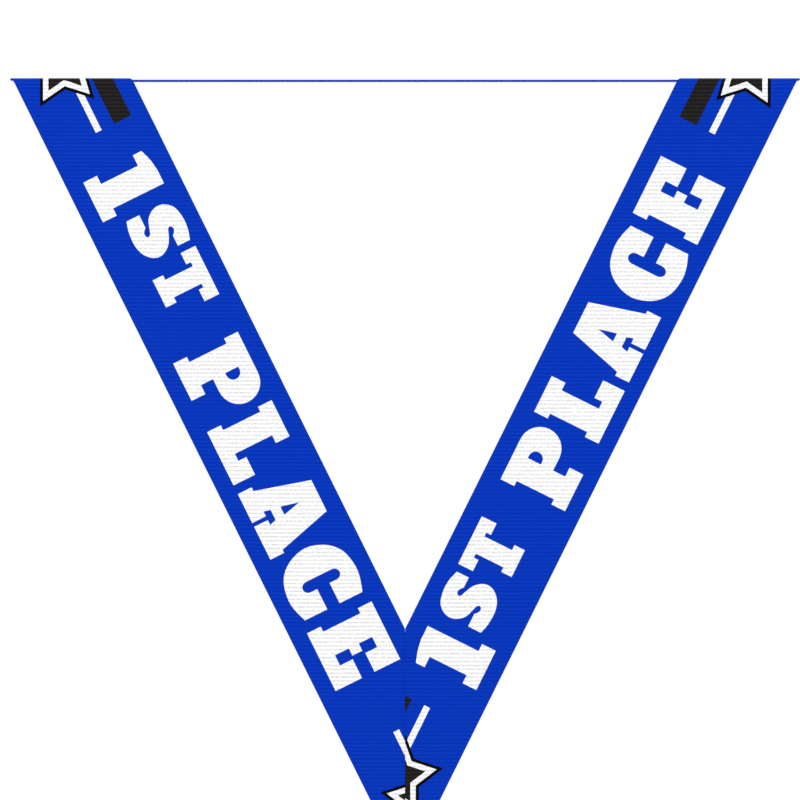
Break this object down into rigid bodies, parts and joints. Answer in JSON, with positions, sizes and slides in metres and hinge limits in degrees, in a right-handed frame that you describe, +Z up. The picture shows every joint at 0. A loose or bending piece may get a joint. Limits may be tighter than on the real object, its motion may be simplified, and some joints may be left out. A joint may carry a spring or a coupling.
{
  "type": "neck ribbon award medal",
  "caption": "Round cast award medal with a domed star insert, hung by a swivel snap hook from a wide printed neck ribbon sewn to a V.",
  "frame": {"origin": "middle of the level underside of the neck band, where it rests on the wearer's neck", "axes": "+Z up, -Y the front of the V and of the medal, +X to the right as seen from the front"},
  "size_m": [0.2798, 0.0447, 0.3981],
  "materials": {
    "ribbon": "ribbed royal blue grosgrain, printed in white, black and dark brown",
    "thread": "blue polyester sewing thread",
    "nickel": "bright nickel plate",
    "steel": "plain drawn steel",
    "gold": "bright gold plate on cast metal",
    "foam_tape": "white double-sided foam tape",
    "insert_blue": "printed blue foil on a thin disc",
    "gold_foil": "bright gold foil",
    "epoxy": "clear glossy epoxy"
  },
  "bodies": {
    "neck": {"neck_band": "ribbon"},
    "v_ribbon": {"left_strap": "ribbon", "right_strap": "ribbon", "seam_stitches": "thread", "keeper_tab": "ribbon", "tab_stitches": "thread"},
    "ring": {"triangle_ring": "nickel"},
    "eye": {"swivel_eye": "nickel"},
    "hook": {"hook_body": "nickel", "gate_pin": "steel", "gate_spring": "steel"},
    "gate": {"gate_lever": "nickel"},
    "link": {"jump_ring": "gold"},
    "medal": {"medal_body": "gold", "insert_pad": "foam_tape", "insert_disc": "insert_blue", "insert_emblem": "gold_foil", "clear_dome": "epoxy", "back_pad": "foam_tape", "back_plate": "gold"}
  },
  "joints": [
    {"name": "ribbon_fold", "type": "hinge", "parent": "neck", "child": "v_ribbon", "pos_m": [0, -0.0195, -0.00125], "axis": [1, 0, 0], "range_deg": [-90, 80]},
    {"name": "ring_swing", "type": "hinge", "parent": "v_ribbon", "child": "ring", "pos_m": [0, -0.0193, -0.26496], "axis": [1, 0, 0], "range_deg": [-50, 50]},
    {"name": "eye_swing", "type": "hinge", "parent": "ring", "child": "eye", "pos_m": [0, -0.0193, -0.2816], "axis": [1, 0, 0], "range_deg": [-40, 40]},
    {"name": "hook_swivel", "type": "hinge", "parent": "eye", "child": "hook", "pos_m": [0, -0.0193, -0.29], "axis": [0, 0, 1], "continuous": true},
    {"name": "gate_open", "type": "hinge", "parent": "hook", "child": "gate", "pos_m": [0.005, -0.0193, -0.29875], "axis": [0, 1, 0], "range_deg": [0, 26], "stiffness_Nm_per_rad": 0.02, "springref_deg": -20.05},
    {"name": "jump_ring_swing", "type": "hinge", "parent": "hook", "child": "link", "pos_m": [0, -0.0193, -0.31475], "axis": [1, 0, 0], "range_deg": [-35, 35]},
    {"name": "medal_sway", "type": "hinge", "parent": "link", "child": "medal", "pos_m": [0, -0.0193, -0.3231], "axis": [0, 1, 0], "range_deg": [-30, 30]}
  ]
}
